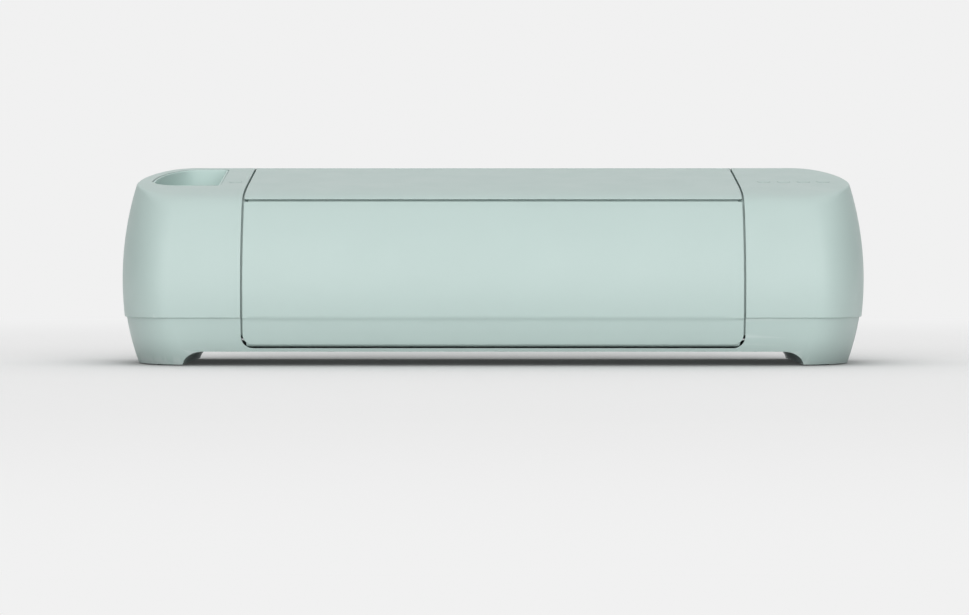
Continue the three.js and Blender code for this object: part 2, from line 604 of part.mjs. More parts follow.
add("base_tray", baseTray(), mint);
add("left_pod_shell", leftPod(), mint);
add("right_pod_shell", rightPod(), mint);
add("rear_cover", rearCover(), mint);
add("tool_cup", toolCup(), mintInner);
for (const [sx, sy] of corners) {
  const place = `${sy < 0 ? "front" : "rear"}_${sx < 0 ? "left" : "right"}`;
  add(`foot_${place}`, foot(sx, sy), rubber);
  add(`base_screw_${place}`, baseScrew(sx, sy), steel);
}
add("lid_panel", lidPanel(), mint);
add("lid_liner", lidLiner(), mintInner);
add("lid_pin_left", endPin(-1, LID_AXIS, 0), steel);
add("lid_pin_right", endPin(1, LID_AXIS, 0), steel);
add("door_panel", doorPanel(), mint);
add("door_liner", doorLiner(), mintInner);
add("door_pin_left", endPin(-1, DOOR_AXIS, 0), steel);
add("door_pin_right", endPin(1, DOOR_AXIS, 0), steel);
add("storage_cover", storageCover(), mint);
add("left_side_frame", sideFrame(-1), paleGrey);
add("right_side_frame", sideFrame(1), paleGrey);
add("front_platen", platen(-57, -9.5), charcoal);
add("rear_platen", rearPlaten(), charcoal);
add("drive_roller", driveRoller(), steel);
add("drive_gear", driveGear(), paleGrey);
add("pinch_roller", pinchRoller(), rubber);
add("pinch_arm_left", pinchArm(-1), steel);
add("pinch_arm_right", pinchArm(1), steel);
add("feed_motor", feedMotor(), aluminium);
add("feed_motor_bracket", feedMotorBracket(), steel);
add("feed_pinion", feedPinion(), brass);
add("rear_beam", rearBeam(), aluminium);
add("lower_guide_rod", guideRod(ROD.low), steel);
add("upper_guide_rod", guideRod(ROD.high), steel);
add("carriage_belt", carriageBelt(), rubber);
add("carriage_motor", carriageMotor(), aluminium);
add("motor_pulley", motorPulley(), brass);
add("idler_pulley", idlerPulley(), brass);
add("idler_axle", idlerAxle(), steel);
add("carriage_body", carriageBody(), charcoal);
add("carriage_cover", carriageCover(), mint);
add("belt_clip", beltClip(), charcoal);
add("tool_holder_a", toolHolder(-1), charcoal);
add("tool_holder_b", toolHolder(1), charcoal);
add("tool_clamp_a", toolClamp(-1), mint);
add("tool_clamp_b", toolClamp(1), mint);
add("pen_adaptor", penAdaptor(), paleGrey);
add("blade_housing", bladeHousing(), aluminium);
add("main_board", mainBoard(), board);
add("power_jack", powerJack(), charcoal);
add("usb_port", usbPort(), aluminium);
add("button_board", buttonBoard(), board);
add("open_button", buttonCap(OPEN_BUTTON_X), mint);
for (const [name, x] of Object.entries(RIGHT_BUTTONS)) {
  add(name, buttonCap(x), mint);
}

export default machine;
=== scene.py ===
"""Looks of the closed craft cutting machine: moulded mint shells around the CAD frame, in a pale studio."""

import json
import math

import bmesh
import bpy
import numpy as np
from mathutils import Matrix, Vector
from mathutils.geometry import delaunay_2d_cdt

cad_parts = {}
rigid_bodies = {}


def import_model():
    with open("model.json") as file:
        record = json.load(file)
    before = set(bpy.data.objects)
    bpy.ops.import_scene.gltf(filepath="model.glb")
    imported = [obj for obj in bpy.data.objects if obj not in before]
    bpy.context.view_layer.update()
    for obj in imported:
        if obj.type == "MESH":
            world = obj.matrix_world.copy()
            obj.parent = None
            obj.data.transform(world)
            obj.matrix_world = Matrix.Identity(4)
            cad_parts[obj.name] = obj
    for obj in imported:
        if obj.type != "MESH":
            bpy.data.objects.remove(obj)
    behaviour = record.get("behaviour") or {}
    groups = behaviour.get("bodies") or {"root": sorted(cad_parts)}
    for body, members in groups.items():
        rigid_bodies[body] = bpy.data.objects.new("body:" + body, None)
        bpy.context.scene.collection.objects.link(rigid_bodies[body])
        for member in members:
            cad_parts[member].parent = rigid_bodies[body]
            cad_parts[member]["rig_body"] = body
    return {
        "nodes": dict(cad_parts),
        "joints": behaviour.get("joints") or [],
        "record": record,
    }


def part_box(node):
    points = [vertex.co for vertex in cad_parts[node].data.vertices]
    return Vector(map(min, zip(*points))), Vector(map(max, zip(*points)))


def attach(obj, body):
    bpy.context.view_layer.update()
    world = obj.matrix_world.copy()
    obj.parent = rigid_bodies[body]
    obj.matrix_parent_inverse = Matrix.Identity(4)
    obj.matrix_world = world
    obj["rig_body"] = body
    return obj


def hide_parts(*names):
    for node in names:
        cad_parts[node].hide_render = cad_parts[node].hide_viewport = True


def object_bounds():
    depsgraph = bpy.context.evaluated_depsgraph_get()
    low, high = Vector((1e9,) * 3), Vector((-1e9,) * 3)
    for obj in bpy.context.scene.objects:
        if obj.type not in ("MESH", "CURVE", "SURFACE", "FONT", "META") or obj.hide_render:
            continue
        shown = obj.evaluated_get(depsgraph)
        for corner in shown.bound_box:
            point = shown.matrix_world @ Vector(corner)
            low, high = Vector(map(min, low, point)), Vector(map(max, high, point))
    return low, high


MM = 0.001
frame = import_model()
cad_low, cad_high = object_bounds()


def node_box(node):
    """Lowest and highest corner of a CAD node, in millimetres."""
    low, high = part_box(node)
    return np.array(low) / MM, np.array(high) / MM


def centre_of(node, axis):
    """Middle of a CAD node's box, without the coordinate along an axis."""
    low, high = node_box(node)
    return tuple(np.delete((low + high) / 2, "xyz".index(axis)))


# Curves of the body, in millimetres. Each arc is (radius, level of its middle).
HALF_WIDTH = cad_high.x / MM
HALF_DEPTH = cad_high.y / MM
SIDE_ARC = (250.0, 64.0)
FRONT_ARC = (127.0, 53.0)
BACK_ARC = (900.0, 75.0)
END_BULGE = 42.0  # how far the rounded ends reach out, seen from above
PARTING_Z = 35.0  # where the base meets the pods
BASE_STEP = 1.6
BASE_TAPER = {"side": 0.258, "front": 0.3, "back": 0.2}
BASE_BOW = {"side": 0.9, "front": 0.8, "back": 0.6}  # how far the base's sides bulge
WALL = 2.5
RIDGE_Y = 76.95  # where the top starts to turn down to the back

# The top slopes up to the back through one point. It dips towards the crease and falls off in front of it.
TOP_POINT = (-34.0, 133.0)  # (y, z)
TOP_SLOPE = 0.153
CREASE_Y = -63.0
CREASE_DIP = 3.5
CREASE_DIP_REACH = 13.0
FRONT_FALL = 0.45

# The rounding from the wall to the top, at the (front, side, back).
ROUNDING_DROP = (15.0, 2.2, 11.2)  # how far down the wall it starts
ROUNDING_REACH = (21.4, 2.6, 11.0)  # how far in over the top it ends
ROUNDING_FULLNESS = (1.5, 1.3, 1.2)
LAST_U = 3.9999  # just before the outline's end, see plan_point

POD_X = node_box("right_pod_shell")[0][0]
POD_BOTTOM = node_box("right_pod_shell")[0][2]
LID_X = node_box("lid_panel")[1][0]
LID_EDGE_Z = node_box("lid_panel")[0][2]
DOOR_BOTTOM_Z = node_box("door_panel")[0][2]
DOOR_TOP_Z = node_box("door_panel")[1][2]
RIM = 0.4  # rounding of the shells' edges
POD_FOOT_RIM = 1.0  # and of the pods' bottom edge
DOOR_CORNER = 7.4
DOOR_STEP = 0.9  # how far the door steps in below the parting line
DOOR_STEP_LEVELS = (35.3, 34.6)
LINE_WIDENING = 2.3  # how much wider the gap between the lid and the door looks than it measures
CORNERS = ("front_left", "front_right", "rear_left", "rear_right")


def hinge_axis(name):
    """The (y, z) of a hinge that turns about X, in millimetres."""
    joint = next(j for j in frame["joints"] if j["name"] == name)
    return joint["pos_m"][1] / MM, joint["pos_m"][2] / MM


# ---------------------------------------------------------------- mesh building


class Shell:
    """Vertices in millimetres and faces, turned into one object at the end."""

    def __init__(self):
        self.points = []
        self.faces = []

    def add_points(self, points):
        start = len(self.points)
        self.points.extend(np.asarray(points, float).reshape(-1, 3).tolist())
        return list(range(start, len(self.points)))

    def join(self, lower, upper, closed=True):
        """Quads between two rings of the same length."""
        count = len(lower)
        for i in range(count if closed else count - 1):
            j = (i + 1) % count
            quad = [lower[i], lower[j], upper[j], upper[i]]
            quad = list(dict.fromkeys(quad))
            if len(quad) > 2:
                self.faces.append(quad)

    def build(self, name, body, material, replaces=()):
        """One object of the shell, with doubled points merged."""
        mesh = self.mesh(name)
        cleaned = bmesh.new()
        cleaned.from_mesh(mesh)
        bmesh.ops.remove_doubles(cleaned, verts=cleaned.verts, dist=0.01 * MM)
        bmesh.ops.recalc_face_normals(cleaned, faces=cleaned.faces)
        cleaned.to_mesh(mesh)
        cleaned.free()
        finish_piece(bpy.data.objects.new(name, mesh), body, material, replaces)

    def mesh(self, name):
        mesh = bpy.data.meshes.new(name)
        mesh.from_pydata([tuple(c * MM for c in p) for p in self.points], [], self.faces)
        return mesh


def finish_piece(piece, body, material, replaces=()):
    """Gives a piece its place in the scene, its material, smooth shading and what the frame asks for."""
    if piece.name not in bpy.context.scene.collection.objects:
        bpy.context.scene.collection.objects.link(piece)
    piece.data.materials.clear()
    piece.data.materials.append(material)
    for polygon in piece.data.polygons:
        polygon.use_smooth = True
    normals = piece.modifiers.new("weighted_normals", "WEIGHTED_NORMAL")
    normals.keep_sharp = True
    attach(piece, body)
    if replaces:
        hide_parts(*replaces)


def offset_loop(loop, distance):
    """A closed 2D loop moved to its left by a distance, and the mitred unit offsets."""
    ahead = np.roll(loop, -1, 0) - loop
    ahead /= np.linalg.norm(ahead, axis=1)[:, None]
    left = np.stack([-ahead[:, 1], ahead[:, 0]], 1)
    before = np.roll(left, 1, 0)
    mitre = (left + before) / (1 + np.sum(left * before, 1))[:, None]
    return loop + mitre * distance, mitre


def inside(points, loop):
    """Which 2D points lie inside a closed loop."""
    x, y = points[:, 0], points[:, 1]
    result = np.zeros(len(points), bool)
    x0, y0 = loop[-1]
    for x1, y1 in loop:
        crosses = (y0 > y) != (y1 > y)
        if y1 != y0:
            result ^= crosses & (x < (x1 - x0) * (y - y0) / (y1 - y0) + x0)
        x0, y0 = x1, y1
    return result


def distance_to_loop(points, loop):
    best = np.full(len(points), 1e9)
    for a, b in zip(loop, np.roll(loop, -1, 0)):
        d = b - a
        t = np.clip(((points - a) @ d) / max(d @ d, 1e-12), 0, 1)
        best = np.minimum(best, np.linalg.norm(points - a - t[:, None] * d, axis=1))
    return best


def triangulate(loops, spacing, stretch=1.0, rows=()):
    """Fills the area between an outer loop and its holes. Returns the points, loops first, and triangles.
    stretch lengthens the triangles along the first coordinate, and rows are second coordinates that get
    their own line of points."""
    scale = np.array([1 / stretch, 1.0])
    scaled = [np.asarray(loop, float) * scale for loop in loops]
    low, high = scaled[0].min(0), scaled[0].max(0)
    xs = np.arange(low[0] + spacing / 2, high[0], spacing)
    ys = np.arange(low[1] + spacing / 2, high[1], spacing)
    ys = [y for y in ys if all(abs(y - row) > spacing * 0.3 for row in rows)] + list(rows)
    grid = np.stack(np.meshgrid(xs, ys), -1).reshape(-1, 2)
    keep = inside(grid, scaled[0])
    for loop in scaled[1:]:
        keep &= ~inside(grid, loop)
    grid = grid[keep]
    for loop in scaled:
        grid = grid[distance_to_loop(grid, loop) > spacing * 0.45]
    points = np.concatenate([*scaled, grid])
    edges, start = [], 0
    for loop in scaled:
        count = len(loop)
        edges += [(start + i, start + (i + 1) % count) for i in range(count)]
        start += count
    _, _, triangles, origin, _, _ = delaunay_2d_cdt([Vector(p) for p in points], edges, [], 0, 1e-7)
    back = [o[0] if o else None for o in origin]
    result = []
    centres = []
    for triangle in triangles:
        ids = [back[v] for v in triangle]
        if None not in ids and len(set(ids)) == 3:
            result.append(ids)
            centres.append(points[ids].mean(0))
    centres = np.array(centres)
    keep = inside(centres, scaled[0])
    for loop in scaled[1:]:
        keep &= ~inside(centres, loop)
    return points / scale, [t for t, k in zip(result, keep) if k]


def rounded_rectangle(x0, x1, y0, y1, radii, count=8):
    """Anticlockwise outline from the corner at (x0, y0), each corner turned in the same number of steps.
    A radius is one number or (along x, along y)."""
    corners = [(x0, y0, 1, 1, 180), (x1, y0, -1, 1, 270), (x1, y1, -1, -1, 0), (x0, y1, 1, -1, 90)]
    points = []
    for (x, y, sx, sy, start), radius in zip(corners, radii):
        rx, ry = radius if isinstance(radius, tuple) else (radius, radius)
        for i in range(count + 1):
            a = math.radians(start + 90 * i / count)
            points.append((x + sx * rx + rx * math.cos(a), y + sy * ry + ry * math.sin(a)))
    return np.array(points)


def densify(loop, step, rows=()):
    """Adds points to the long straight stretches of a closed loop, and where it crosses the rows."""
    points = []
    for a, b in zip(loop, np.roll(loop, -1, 0)):
        count = max(1, int(round(np.linalg.norm(b - a) / step)))
        shares = {i / count for i in range(count)}
        if abs(b[1] - a[1]) > step:
            shares |= {(row - a[1]) / (b[1] - a[1]) for row in rows}
        points += [a + (b - a) * share for share in sorted(shares) if 0 <= share < 1]
    return np.array(points)


def add_rim(shell, ring, points, normals, reach, inner, steps=5):
    """Rounds a shell's edge over by its reach and closes it to the inner edge. Returns the inner ring."""
    last = ring
    radius = np.linalg.norm(reach, axis=1)[:, None]
    for i in range(1, steps + 1):
        angle = math.pi / 2 * i / steps
        ids = shell.add_points(points + math.sin(angle) * reach - radius * (1 - math.cos(angle)) * normals)
        shell.join(last, ids)
        last = ids
    ids = shell.add_points(inner)
    shell.join(last, ids)
    return ids


# ---------------------------------------------------------------- the body's surface


def sagitta(arc, z):
    radius, middle = arc
    return radius - np.sqrt(radius ** 2 - (z - middle) ** 2)


def body_set_in(z):
    return sagitta(SIDE_ARC, z), sagitta(FRONT_ARC, z), sagitta(BACK_ARC, z)


def base_taper(way, z):
    """How far the base is set in below the parting line. It starts steep and curves under."""
    down = PARTING_Z - z
    share = np.clip(down / PARTING_Z, 0, 1)
    return BASE_TAPER[way] * down - BASE_BOW[way] * 4 * share * (1 - share)


def base_set_in(z):
    upper = body_set_in(PARTING_Z)
    return tuple(u + BASE_STEP + base_taper(way, z) for u, way in zip(upper, ("side", "front", "back")))


def plan_point(u, z, start_x, set_in, inset=0.0):
    """A point of the right half's outline at a level. u runs 0 to 1 along the front from start_x, to 2
    along the front half of the rounded end, to 3 along its back half and to 4 along the back."""
    side, front, back = set_in(z)
    bulge = END_BULGE - inset
    straight = HALF_WIDTH - side - END_BULGE
    near = HALF_DEPTH - front - inset
    far = HALF_DEPTH - back - inset
    leg = np.clip(np.floor(u), 0, 3)
    t = u - leg
    turn = t * math.pi / 2
    choices = [leg == k for k in range(4)]
    x = np.select(choices, [
        start_x + (straight - start_x) * t,
        straight + bulge * np.sin(turn),
        straight + bulge * np.cos(turn),
        straight + (start_x - straight) * t,
    ])
    y = np.select(choices, [
        -near + 0 * t,
        -near * np.cos(turn),
        far * np.sin(turn),
        far + 0 * t,
    ])
    return x, y


def top_z(y):
    y = np.asarray(y, float)
    through_y, through_z = TOP_POINT
    dip = CREASE_DIP * np.exp((CREASE_Y - np.maximum(y, CREASE_Y)) / CREASE_DIP_REACH)
    fall = FRONT_FALL * np.maximum(0, CREASE_Y - y)
    return through_z + TOP_SLOPE * (y - through_y) - dip - fall


def top_rise(y):
    return (top_z(y + 0.05) - top_z(y - 0.05)) / 0.1


def top_normal(y):
    rise = top_rise(y)
    n = np.stack([np.zeros_like(rise), -rise, np.ones_like(rise)], -1)
    return n / np.linalg.norm(n, axis=-1, keepdims=True)


def ease(share):
    share = np.clip(share, 0, 1)
    return share * share * (3 - 2 * share)


def blend(u, front, side, back):
    """A value that is the front's up to u = 1, the side's from 1.6 to 2.55 and the back's from 3."""
    to_side = ease((u - 1) / 0.6)
    to_back = ease((u - 2.55) / 0.45)
    return (front + (side - front) * to_side) * (1 - to_back) + back * to_back


def wall_and_crease(u, bottom, start_x, wall_rows=22, crease_rows=12):
    """Rows of points, from the bottom of the wall to where the crease meets the top, for each column u."""
    z = np.full_like(u, 125.0)  # a first guess of where the wall would meet the top
    for _ in range(60):
        _, y = plan_point(u, z, start_x, body_set_in)
        z = 0.5 * z + 0.5 * top_z(y)
    edge_x, edge_y = plan_point(u, z, start_x, body_set_in)
    wall_top = z - blend(u, *ROUNDING_DROP)
    reach = blend(u, *ROUNDING_REACH)
    fullness = blend(u, *ROUNDING_FULLNESS)
    nudge = 0.004
    ahead = np.stack(plan_point(np.minimum(u + nudge, LAST_U), z, start_x, body_set_in), -1)
    behind = np.stack(plan_point(np.maximum(u - nudge, 0), z, start_x, body_set_in), -1)
    along = ahead - behind
    along /= np.linalg.norm(along, axis=1)[:, None]
    inward = np.stack([-along[:, 1], along[:, 0]], -1)

    def wall(level):
        return np.stack([*plan_point(u, level, start_x, body_set_in), level], -1)

    rows = [wall(bottom + (wall_top - bottom) * i / wall_rows) for i in range(wall_rows + 1)]
    start = rows[-1]
    rising = wall(wall_top + 0.05) - wall(wall_top - 0.05)
    rising /= np.linalg.norm(rising, axis=1)[:, None]
    end_x = edge_x + inward[:, 0] * reach
    end_y = edge_y + inward[:, 1] * reach
    end = np.stack([end_x, end_y, top_z(end_y)], -1)
    leaving = np.stack([inward[:, 0], inward[:, 1], top_rise(end_y) * inward[:, 1]], -1)
    leaving /= np.linalg.norm(leaving, axis=1)[:, None]
    pull = (fullness * np.linalg.norm(end - start, axis=1))[:, None]
    for i in range(1, crease_rows + 1):
        t = i / crease_rows
        rows.append(
            start * (2 * t ** 3 - 3 * t ** 2 + 1)
            + rising * pull * (t ** 3 - 2 * t ** 2 + t)
            + end * (3 * t ** 2 - 2 * t ** 3)
            + leaving * pull * (t ** 3 - t ** 2)
        )
    return np.array(rows)


def front_to_back_profile():
    """The section shared by the door, the lid and the rear cover: [y, z] points from the door's bottom
    edge, up the front, over the top and down the back."""
    band_front = -HALF_DEPTH + sagitta(FRONT_ARC, PARTING_Z)
    upper, lower = DOOR_STEP_LEVELS
    levels = np.linspace(DOOR_BOTTOM_Z - 1, lower, 16)
    band = [(band_front + DOOR_STEP + base_taper("front", z), z) for z in levels]
    front = wall_and_crease(np.array([0.0]), upper, POD_X, 60, 40)[:, 0, 1:]
    back = wall_and_crease(np.array([LAST_U]), POD_BOTTOM - 1, POD_X, 40, 24)[:, 0, 1:]
    y = np.linspace(front[-1][0], back[-1][0], 80)[1:-1]
    top = np.stack([y, top_z(y)], -1)
    return np.concatenate([band, front, top, back[::-1]])


class Profile:
    """A section curve with its arc length, for parts that keep one section along X."""

    def __init__(self, points):
        self.points = np.asarray(points, float)
        steps = np.linalg.norm(np.diff(self.points, axis=0), axis=1)
        self.lengths = np.concatenate([[0], np.cumsum(steps)])
        tangent = np.gradient(self.points, self.lengths, axis=0)
        self.tangents = tangent / np.linalg.norm(tangent, axis=1)[:, None]

    def at(self, s):
        y, z = (np.interp(s, self.lengths, self.points[:, k]) for k in (0, 1))
        ty, tz = (np.interp(s, self.lengths, self.tangents[:, k]) for k in (0, 1))
        size = np.hypot(ty, tz)
        return y, z, ty / size, tz / size

    def place(self, xs):
        """Positions and outward normals of (x, arc length) points."""
        y, z, ty, tz = self.at(xs[:, 1])
        nothing = np.zeros_like(y)
        return np.stack([xs[:, 0], y, z], 1), np.stack([nothing, -tz, ty], 1)

    def direction(self, xs, flat):
        """3D directions of flat (x, arc length) directions at those points."""
        _, _, ty, tz = self.at(xs[:, 1])
        return np.stack([flat[:, 0], flat[:, 1] * ty, flat[:, 1] * tz], 1)

    def length_up_front(self, z):
        """Arc length at a level of the front."""
        front = self.points[:, 0] < CREASE_Y
        return np.interp(z, self.points[front, 1], self.lengths[front])

    def length_down_back(self, z):
        """Arc length at a level of the back."""
        back = self.points[:, 0] > RIDGE_Y
        return np.interp(-z, -self.points[back, 1], self.lengths[back])


def panel(shell, profile, loops, thickness, radius=RIM, spacing=3.0, stretch=4.0, rows=(), undercut=0.0):
    """A closed sheet over (x, arc length) loops of a profile, with rounded outer edges. An undercut draws
    the inner face back from the edge with the lowest arc length."""
    loops = [densify(np.asarray(loop, float), spacing * 1.2, rows) for loop in loops]
    inner, mitres = zip(*[offset_loop(loop, radius) for loop in loops])
    flat, triangles = triangulate(inner, spacing, stretch, rows)
    points, normals = profile.place(flat)
    outer_ids = shell.add_points(points)
    shell.faces += [[outer_ids[v] for v in t] for t in triangles]
    drawn_back = flat.copy()
    if undercut:
        drawn_back[:, 1] += undercut * np.clip(1 - (flat[:, 1] - flat[:, 1].min()) / (4 * undercut), 0, 1)
    back, back_normals = profile.place(drawn_back)
    back -= thickness * back_normals
    start = 0
    for loop, mitre in zip(inner, mitres):
        ids = outer_ids[start:start + len(loop)]
        here = slice(start, start + len(loop))
        reach = radius * profile.direction(flat[here], -mitre)
        back[here] += reach
        add_rim(shell, ids, points[here], normals[here], reach, back[here])
        start += len(loop)
    back_ids = shell.add_points(back)
    shell.faces += [[back_ids[v] for v in reversed(t)] for t in triangles]
    return shell


# ---------------------------------------------------------------- materials


class Tree:
    """The node tree of a material or of the world."""

    def __init__(self, owner):
        owner.use_nodes = True
        self.nodes = owner.node_tree.nodes
        self.links = owner.node_tree.links

    def put(self, value, socket):
        """Sets a socket, or links it to another node's output."""
        if isinstance(value, bpy.types.NodeSocket):
            self.links.new(value, socket)
        else:
            socket.default_value = value

    def add(self, kind, output, inputs=None, **settings):
        """Adds a node and returns one of its outputs."""
        node = self.nodes.new("ShaderNode" + kind)
        for setting, value in settings.items():
            setattr(node, setting, value)
        for socket, value in (inputs or {}).items():
            self.put(value, node.inputs[socket])
        return node.outputs[output]

    def place(self, space="Object"):
        return self.add("TexCoord", space)

    def noise(self, scale, detail, vector):
        return self.add("TexNoise", "Fac", {"Scale": scale, "Detail": detail, "Vector": vector})

    def mix(self, factor, a, b):
        return self.add("Mix", "Result", {"Factor": factor, "A": a, "B": b}, data_type="RGBA")

    def ramp(self, value, start, end, low, high, shape="LINEAR"):
        """A value that goes from low to high where another goes from start to end."""
        inputs = {"Value": value, "From Min": start, "From Max": end, "To Min": low, "To Max": high}
        return self.add("MapRange", "Result", inputs, interpolation_type=shape)

    def calculate(self, operation, first, second):
        return self.add("Math", 0, {0: first, 1: second}, operation=operation)

    def bump(self, height, strength, distance):
        return self.add("Bump", "Normal", {"Height": height, "Strength": strength, "Distance": distance})

    def shade(self, **inputs):
        """Sets or links sockets of the tree's Principled shader, named with _ for a space."""
        for socket, value in inputs.items():
            self.put(value, self.nodes["Principled BSDF"].inputs[socket.replace("_", " ")])


def new_material(name):
    material = bpy.data.materials.new("look_" + name)
    material["slot"] = name
    return material, Tree(material)


def plastic(name, colour, roughness=0.42, grain=0.04, spread=0.02):
    """Moulded plastic: fine grain, slight colour and gloss variation, paler worn edges, painted shade in the
    gaps.
    """
    material, tree = new_material(name)
    place = tree.place()
    dark = (*[c * (1 - spread) for c in colour], 1)
    light = (*[min(1, c * (1 + spread)) for c in colour], 1)
    worn = (*[c + (1 - c) * 0.25 for c in colour], 1)
    tint = tree.mix(tree.noise(14, 3, place), dark, light)
    edges = tree.ramp(tree.add("NewGeometry", "Pointiness"), 0.53, 0.62, 0.0, 0.5)
    tint = tree.mix(edges, tint, worn)
    # Ambient occlusion darkens the colour where surfaces close in: painted shade in gaps and corners, mixed
    # in at 0.3.
    painted_gap_shade = tree.add("AmbientOcclusion", "Color", {"Color": tint, "Distance": 0.02})
    gloss = tree.ramp(tree.noise(40, 2, place), 0.3, 0.7, roughness - 0.04, roughness + 0.05)
    bump = tree.bump(tree.noise(2600, 1, place), grain, 0.0002)
    tree.shade(Base_Color=tree.mix(0.3, tint, painted_gap_shade), Roughness=gloss, Normal=bump)
    return material


def metal(name, colour, roughness, stretch):
    """Metal with fine drawn or ground lines along the least stretched direction."""
    material, tree = new_material(name)
    stretched = tree.add("Mapping", "Vector", {"Vector": tree.place(), "Scale": stretch})
    lines = tree.noise(900, 3, stretched)
    dark = (*[c * 0.88 for c in colour], 1)
    light = (*[min(1, c * 1.08) for c in colour], 1)
    gloss = tree.ramp(lines, 0.0, 1.0, roughness - 0.08, roughness + 0.1)
    bump = tree.bump(lines, 0.06, 0.0001)
    tree.shade(Metallic=1.0, Base_Color=tree.mix(lines, dark, light), Roughness=gloss, Normal=bump)
    return material


looks = {
    "mint_shell": plastic("mint_shell", (0.478, 0.594, 0.567)),
    # mint_inner is a paler, more saturated copy of the shell's mint: painted light on the tool cup's shaded
    # inside.
    "mint_inner": plastic("mint_inner", (0.56, 0.71, 0.675), 0.5),
    "charcoal_plastic": plastic("charcoal_plastic", (0.035, 0.04, 0.042), 0.5, 0.08, 0.08),
    "pale_plastic": plastic("pale_plastic", (0.60, 0.63, 0.62), 0.5, 0.05),
    "circuit_board": plastic("circuit_board", (0.02, 0.13, 0.06), 0.4, 0.03, 0.15),
    "rubber": plastic("rubber", (0.022, 0.022, 0.023), 0.8, 0.2, 0.1),
    "steel": metal("steel", (0.46, 0.47, 0.48), 0.3, (0.03, 1, 1)),
    "aluminium": metal("aluminium", (0.66, 0.67, 0.68), 0.35, (0.03, 1, 1)),
    "brass": metal("brass", (0.62, 0.42, 0.16), 0.3, (1, 0.05, 1)),
}

slot_of = {s["node"]: s["material_slot"] for s in frame["record"]["subparts"]}
for name, node in frame["nodes"].items():
    node.data.materials.clear()
    node.data.materials.append(looks[slot_of[name]])
    for polygon in node.data.polygons:
        polygon.use_smooth = False


# ---------------------------------------------------------------- outer shells

profile = Profile(front_to_back_profile())
door_low = profile.length_up_front(DOOR_BOTTOM_Z)
door_high = profile.length_up_front(DOOR_TOP_Z) - LINE_WIDENING / 2
lid_front = profile.length_up_front(LID_EDGE_Z) + LINE_WIDENING / 2
cover_top = np.interp(RIDGE_Y, profile.points[:, 0], profile.lengths)
cover_low = profile.length_down_back(POD_BOTTOM)


def make_door():
    radii = (DOOR_CORNER, DOOR_CORNER, 1.6, 1.6)
    outline = rounded_rectangle(-LID_X, LID_X, door_low, door_high, radii)
    rows = [profile.length_up_front(z) for z in DOOR_STEP_LEVELS]
    shell = panel(Shell(), profile, [outline], WALL, rows=rows)
    shell.build("door_shell", "door", looks["mint_shell"], ["door_panel"])


CURL_DEGREES = range(8, 120, 8)


def make_lid():
    """The lid follows the body up to its hinge, and curls down round the hinge's axis."""
    axis_y, axis_z = hinge_axis("lid_hinge")
    lengths = profile.lengths[(profile.lengths > lid_front) & (profile.points[:, 0] <= axis_y)]
    along = np.column_stack(profile.at(np.append(lid_front, lengths))[:2])
    last_y, last_z = along[-1] - (axis_y, axis_z)
    radius = math.hypot(last_y, last_z)
    start = math.atan2(last_z, last_y)
    turn = [start - math.radians(a) for a in CURL_DEGREES]
    curl = [(axis_y + radius * math.cos(a), axis_z + radius * math.sin(a)) for a in turn]
    lid_profile = Profile(np.concatenate([along, curl]))
    outline = rounded_rectangle(-LID_X, LID_X, 0, lid_profile.lengths[-1], [1.2] * 4)
    shell = panel(Shell(), lid_profile, [outline], WALL, undercut=WALL)
    shell.build("lid_shell", "lid", looks["mint_shell"], ["lid_panel"])


SLOT_HALF = 168.0  # the mat slot in the rear cover
SLOT_LEVELS = (61.0, 46.6)
COVER_GAP = 0.3


def make_rear_cover():
    half = POD_X - COVER_GAP
    outline = rounded_rectangle(-half, half, cover_top, cover_low, [1] * 4)
    slot_ends = [profile.length_down_back(z) for z in SLOT_LEVELS]
    slot = rounded_rectangle(-SLOT_HALF, SLOT_HALF, *slot_ends, [3] * 4)[::-1]
    shell = panel(Shell(), profile, [outline, slot], WALL)
    shell.build("rear_shell", "chassis", looks["mint_shell"], ["rear_cover"])


def pod_columns():
    """Places along the outline: a few on the straight stretches and many round the end."""
    legs = [np.linspace(0, 1, 9)[:-1], np.linspace(1, 2, 49)[:-1], np.linspace(2, 3, 49)[:-1]]
    return np.concatenate([*legs, np.linspace(3, LAST_U, 9)])


def grid_normals(grid):
    up = np.gradient(grid, axis=0)
    along = np.gradient(grid, axis=1)
    n = np.cross(along, up)
    return n / np.maximum(np.linalg.norm(n, axis=2, keepdims=True), 1e-9)


